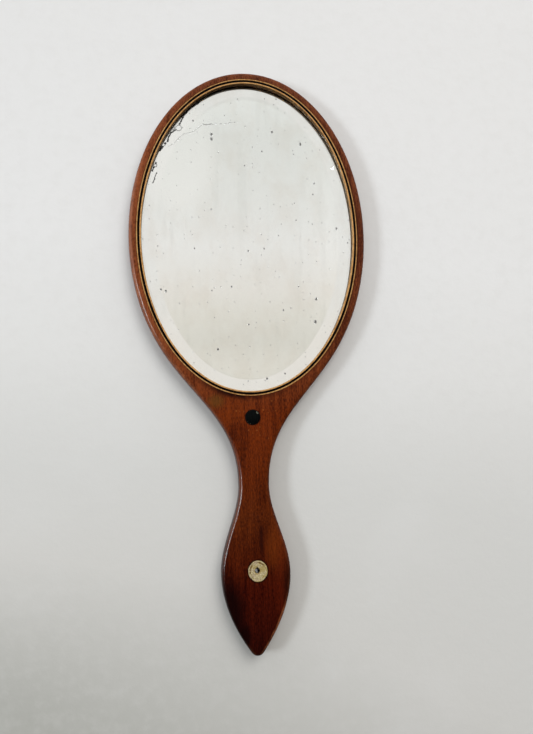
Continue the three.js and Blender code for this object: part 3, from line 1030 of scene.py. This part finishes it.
def hole_outline():
    """The hole's radius round its centre: a circle drawn out to a point at its top."""
    radius, apex = hanging_hole()[1:]
    opening_angle = math.acos(radius / apex)

    def at(angle):
        from_top = abs((angle - math.pi / 2 + math.pi) % (2 * math.pi) - math.pi)
        return radius / math.cos(opening_angle - min(from_top, opening_angle))
    return at


def dot_cutter():
    low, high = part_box("ebony_dot")
    radius = half_sizes("ebony_dot")[0] + SEAM
    seat = stepped([radius], (low.y - CUT_OVERSHOOT, high.y + SEAM))
    return loft(turned(middle_of("ebony_dot"), seat))


def disc_cutter():
    low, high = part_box("bone_disc")
    seat = stepped([disc_oval(SEAM)], (low.y - CUT_OVERSHOOT, high.y + SEAM))
    through = stepped([hole_outline()], (high.y + SEAM, BACK + CUT_OVERSHOOT))
    return loft(turned(middle_of("bone_disc"), seat) + turned(hanging_hole()[0], through))


def pin_nodes():
    return sorted(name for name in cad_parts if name.startswith("panel_pin"))


def pin_sizes(pin):
    """A pin's head radius, shaft radius and levels, front to back."""
    points = node_points(pin)
    centre = np.array(middle_of(pin))
    tip, shoulder, under_head, top = levels(points[:, 1])
    reach = np.linalg.norm(points[:, [0, 2]] - centre, axis=1)
    shaft = reach[np.abs(points[:, 1] - shoulder) < SAME_LEVEL].max()
    return float(reach.max()), float(shaft), (tip, shoulder, under_head, top)


def pin_cutters():
    """A stepped hole for each pin: its shaft, and a seat for its head."""
    cutters = []
    for pin in pin_nodes():
        head, shaft, (tip, _, under_head, _) = pin_sizes(pin)
        edges = (BACK + CUT_OVERSHOOT, under_head - SEAM, tip - SEAM)
        profile = stepped((head + SEAM, shaft + SEAM), edges)
        cutters.append(loft(turned(middle_of(pin), profile, PIN_POINTS)))
    return cutters


def make_pins():
    """Each pin turned to its CAD sizes, with a crowned head that sits a little below the wood."""
    finish = brass()
    for pin in pin_nodes():
        head, shaft, (tip, shoulder, under_head, top) = pin_sizes(pin)
        profile = [(0.1 * shaft, tip), (shaft, shoulder), (shaft, under_head)]
        profile += [(0.94 * head, under_head), (head, under_head + 0.15 * (top - under_head))]
        for step in range(EASE_STEPS + 1):
            turn = math.pi / 2 * step / EASE_STEPS
            profile.append((head * math.cos(0.94 * turn), top - PIN_CROWN * (1 - math.sin(turn))))
        rings = turned(middle_of(pin), profile, PIN_POINTS)
        piece = build("brass_" + pin.replace("panel_", ""), *loft(rings))
        adopt(piece, finish, "pin_brass", pin)


def make_strings():
    """The two boxwood strings and the ebony one, each with its own slight wander."""
    outer_finish = boxwood("outer_boxwood", (188, 144, 88), (152, 104, 54), 0.6)
    lining_finish = boxwood("lining_boxwood", (202, 158, 102), (168, 118, 66), 0.5)
    strings = (
        ("outer_string", ebony_edge, stringing_edge, STRING_FLOOR, STRING_EASE,
         outer_finish, "boxwood", "outer_boxwood_string"),
        ("black_string", lining_edge, ebony_edge, STRING_FLOOR, STRING_EASE,
         string_ebony(), "ebony", "ebony_string"),
        ("lining_string", opening_edge, lining_edge, LINING_END, LINING_EASE,
         lining_finish, "boxwood", "inner_boxwood_string"),
    )
    for name, inner, outer, deep, inner_ease, finish, slot, node in strings:
        gap = 0 if inner is opening_edge else SEAM
        rings = string_rings(shifted(inner, gap), outer, deep, inner_ease, STRING_EASE)
        adopt(build(name, *loft(rings, section_closes=True)), finish, slot, node)


def make_glass():
    """The bevelled plate, with a crisp line where the bevel meets the flat."""
    rings = ovals((
        (GLASS_OFFSET - GLASS_ARRIS, GLASS_BACK),
        (GLASS_OFFSET, GLASS_BACK - GLASS_ARRIS),
        (GLASS_OFFSET, GLASS_EDGE + GLASS_ARRIS),
        (GLASS_OFFSET - GLASS_ARRIS, GLASS_EDGE),
        (BEVEL_OFFSET, GLASS_FRONT),
    ))
    glass = build("bevelled_glass", *loft(rings))
    for edge in glass.data.edges:
        first, second = edge.vertices
        edge.use_edge_sharp = first // OVAL_POINTS == second // OVAL_POINTS
    glass.visible_shadow = False
    return adopt(glass, plate_glass(), "mirror_glass", "mirror_glass")


def make_dot():
    low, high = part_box("ebony_dot")
    rings = turned(middle_of("ebony_dot"), eased(dot_outline(), -INLAY_ARRIS, low.y, high.y))
    return adopt(build("neck_dot", *loft(rings)), dot_ebony(), "ebony", "ebony_dot")


def make_bone_disc():
    """The bone disc: a worn hole, a shallow turned groove, and an eased rim."""
    low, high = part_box("bone_disc")
    outline = disc_outline()
    rings = turned(hanging_hole()[0], eased(hole_outline(), 2 * INLAY_ARRIS, low.y, high.y))
    groove = ((-1.6, 0), (-1, 0.8), (0, 1), (1, 0.8), (1.6, 0))
    profile = [(partly(outline, GROOVE_REACH + aside * GROOVE_HALF), low.y + share * GROOVE_DEPTH)
               for aside, share in groove]
    profile += eased(outline, -INLAY_ARRIS, low.y, high.y)[::-1]
    rings += turned(middle_of("bone_disc"), profile)
    piece = build("bone_roundel", *loft(rings, section_closes=True))
    return adopt(piece, bone(), "bone", "bone_disc")


def make_panel():
    """The oval back panel, its back arris eased, with a seat for each pin."""
    low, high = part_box("back_panel")
    outer = from_line(high.x)
    edge = wobbly(outer - 0.1 * MM, 5.1, 0.1 * MM)
    rings = [oval_ring(edge, low.y)]
    for inset, short in quarter_round(EASE_STEPS):
        rings.append(oval_ring(shifted(edge, -PANEL_ARRIS * inset), high.y - PANEL_ARRIS * short))
    piece = build("backboard", *loft(rings))
    cut_away(piece, *joined(pin_cutters()))
    return adopt(piece, panel_wood(), "panel_wood", "back_panel")


def make_felt():
    """A soft pad whose faces rise and fall a little and whose edge is fuzzy."""
    low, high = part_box("felt_pad")
    outer = from_line(high.x)
    fray = wobbly(outer - 0.4 * MM, 3.3, 0.35 * MM)
    reaches = (0, 1, 3, 6, 11, 18, 27, 38, 50)
    faces = []
    for face, sign in ((low.y, 1), (high.y, -1)):
        rings = []
        for reach in reaches:
            ring = oval_ring(shifted(fray, -reach * MM), face, OVAL_POINTS // 2)
            for point in ring:
                across, up = point[0] * FUZZ_FINENESS, point[2] * FUZZ_FINENESS
                lift = noise.noise(Vector((across, sign * 3, up)))
                edge_dip = FELT_EDGE_DIP if reach == 0 else 0
                point[1] += sign * (FELT_FUZZ * (1 + lift) + edge_dip)
            rings.append(ring)
        faces.append(rings)
    rings = faces[0][::-1] + faces[1]
    return adopt(build("packing_felt", *loft(rings)), felt(), "felt", "felt_pad")


def finish_cad_nodes():
    """The hidden layers whose CAD shape is already right only need their own finish."""
    finishes = {"silvering": old_silver(), "backing_paper": paper(), "packing_slip": card()}
    for name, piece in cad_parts.items():
        for prefix, finish in finishes.items():
            if name.startswith(prefix):
                piece.data.materials.clear()
                piece.data.materials.append(finish)


make_board()
make_strings()
make_glass()
make_dot()
make_bone_disc()
make_panel()
make_pins()
make_felt()
finish_cad_nodes()


# ======== Stage, light and camera ========

CAMERA_PLACE = Vector((CAMERA_ASIDE, FRONT - CAMERA_AWAY, HEAD_Z - CAMERA_DROP))


def make_stage():
    """A pale plaster wall, seen from the front only, painted darker towards the floor as painted shade.
    """
    p = Paint("wall_paint")
    mottle = p.noise((7, 7, 7), 4, 0.6)
    cloud = p.noise((60, 60, 60), 3, 0.5, 5)
    # Painted shade: the wall is painted darker towards the floor, and low down it is painted darker on
    # the left than on the right.
    p.colour = p.shades(
        p.add(p.z, p.times(p.x, p.step(p.z, -50, 120, 0.55, 0.1))),
        (-100, 171, 171, 166), (30, 203, 202, 199), (100, 206, 206, 204),
        (170, 217, 217, 216), (240, 221, 221, 221), (400, 217, 217, 217),
    )
    p.over((206, 205, 203), p.step(mottle, 0.4, 0.8, 0, 0.2))
    p.over((222, 222, 223), p.step(cloud, 0.45, 0.75, 0, 0.12))
    plaster = p.node("ShaderNodeBsdfDiffuse", {"Color": p.colour, "Normal": p.bump(mottle, 0.2)})
    clear = p.node("ShaderNodeBsdfTransparent")
    behind = p.node("ShaderNodeNewGeometry").outputs["Backfacing"]
    p.cover(p.node("ShaderNodeMixShader", {0: behind, 1: plaster.outputs[0], 2: clear.outputs[0]}))
    y = BACK + WALL_GAP
    mesh = bpy.data.meshes.new("wall")
    corners = [(-1, -1), (1, -1), (1, 1), (-1, 1)]
    mesh.from_pydata([(x * WALL_REACH, y, z * WALL_REACH) for x, z in corners], [], [(0, 1, 2, 3)])
    wall = put("wall", mesh)
    mesh.materials.append(p.material)
    wall.visible_shadow = False


def area_light(name, place, target, wide, tall, power, colour=(1, 1, 1)):
    data = bpy.data.lights.new(name, "AREA")
    data.shape = "ELLIPSE" if wide == tall else "RECTANGLE"
    data.size = wide
    data.size_y = tall
    data.energy = power
    data.color = colour
    lamp = put(name, data)
    lamp.location = place
    lamp.rotation_euler = (Vector(target) - Vector(place)).to_track_quat("-Z", "Y").to_euler()
    return lamp


def glint_place():
    """A spot on the glass's bevel, and where a lamp must hang for the camera to see it there."""
    x, z = oval_point(GLINT_ANGLE, GLINT_OFFSET)
    across, up = oval_normal(GLINT_ANGLE)
    slope = (GLASS_EDGE - GLASS_FRONT) / (GLASS_OFFSET - BEVEL_OFFSET)
    spot = Vector((x, (GLASS_FRONT + GLASS_EDGE) / 2, z))
    normal = Vector((across * slope, -1, up * slope)).normalized()
    seen = (spot - CAMERA_PLACE).normalized()
    return spot, spot + seen.reflect(normal) * BULB_DISTANCE


def make_world():
    """A pale room as the glass shows it: bright ahead and above, dim from the floor up to eye level."""
    world = bpy.data.worlds.new("studio")
    bpy.context.scene.world = world
    world.use_nodes = True
    n = Nodes(world.node_tree)
    x, y, z = n.apart(n.node("ShaderNodeTexCoord").outputs["Generated"])
    ahead = n.most(n.times(y, -1), 0.12)
    rise, aside = (n.math("DIVIDE", part, ahead) for part in (z, x))
    room = n.ramp(
        rise, (-0.8, 0.07, 0.07, 0.065), (-0.2, 0.12, 0.12, 0.11), (-0.03, 0.3, 0.29, 0.25),
        (0.03, 0.8, 0.775, 0.72), (0.08, 0.78, 0.74, 0.68), (0.12, 0.73, 0.7, 0.645),
        (0.16, 0.775, 0.74, 0.685), (0.2, 0.825, 0.785, 0.745), (0.27, 0.86, 0.838, 0.825),
        (0.36, 0.81, 0.8, 0.78), (0.45, 0.775, 0.772, 0.75), (0.52, 0.85, 0.85, 0.83),
        (1.2, 0.95, 0.95, 0.95),
    )
    left_bright = n.step(aside, 0.06, -0.04, 1, 1.015)
    right_bright = n.step(aside, 0.14, 0.22, 1, 1.05)
    lit = n.scaled(room, n.times(left_bright, right_bright))
    around = n.mix(lit, (0.75, 0.75, 0.77, 1), n.step(y, 0.1, 0.75))
    seen = n.node("ShaderNodeLightPath").outputs["Is Camera Ray"]
    background = n.node("ShaderNodeBackground", {"Color": n.mix(around, (0.76, 0.76, 0.75, 1), seen)})
    n.node("ShaderNodeOutputWorld", {"Surface": background.outputs[0]})


def make_camera():
    data = bpy.data.cameras.new("camera")
    data.lens = CAMERA_LENS
    data.sensor_width = SENSOR_WIDTH
    data.clip_start = CLIP_START
    camera = put("camera", data)
    camera.location = CAMERA_PLACE
    turn = Euler((math.pi / 2 + CAMERA_TILT, 0, -CAMERA_PAN)).to_matrix()
    turn = turn @ Matrix.Rotation(CAMERA_ROLL, 3, "Z")
    camera.rotation_euler = turn.to_euler()
    bpy.context.scene.camera = camera


def make_lights():
    """A window on the left, a broad soft box in front, a small bare bulb, and a lamp behind."""
    handle = (0, 0, 0.2)
    area_light("window", (-1.52, -1.13, 0.1), handle, 0.32, 0.5, 13.4, (0.93, 1, 1.06))
    front = area_light("front", (0.34, -1, 0.75), handle, 0.8, 0.8, 6.6, (1.03, 1, 0.97))
    front.visible_glossy = False
    front.visible_transmission = False
    spot, bulb = glint_place()
    area_light("bulb", bulb, spot, BULB_SIZE, BULB_SIZE, 0.004)
    area_light("behind", (0.3, 1.7, 0.7), handle, 0.8, 0.8, 32)


make_stage()
make_world()
make_lights()
make_camera()
bpy.context.scene.view_settings.view_transform = "Standard"
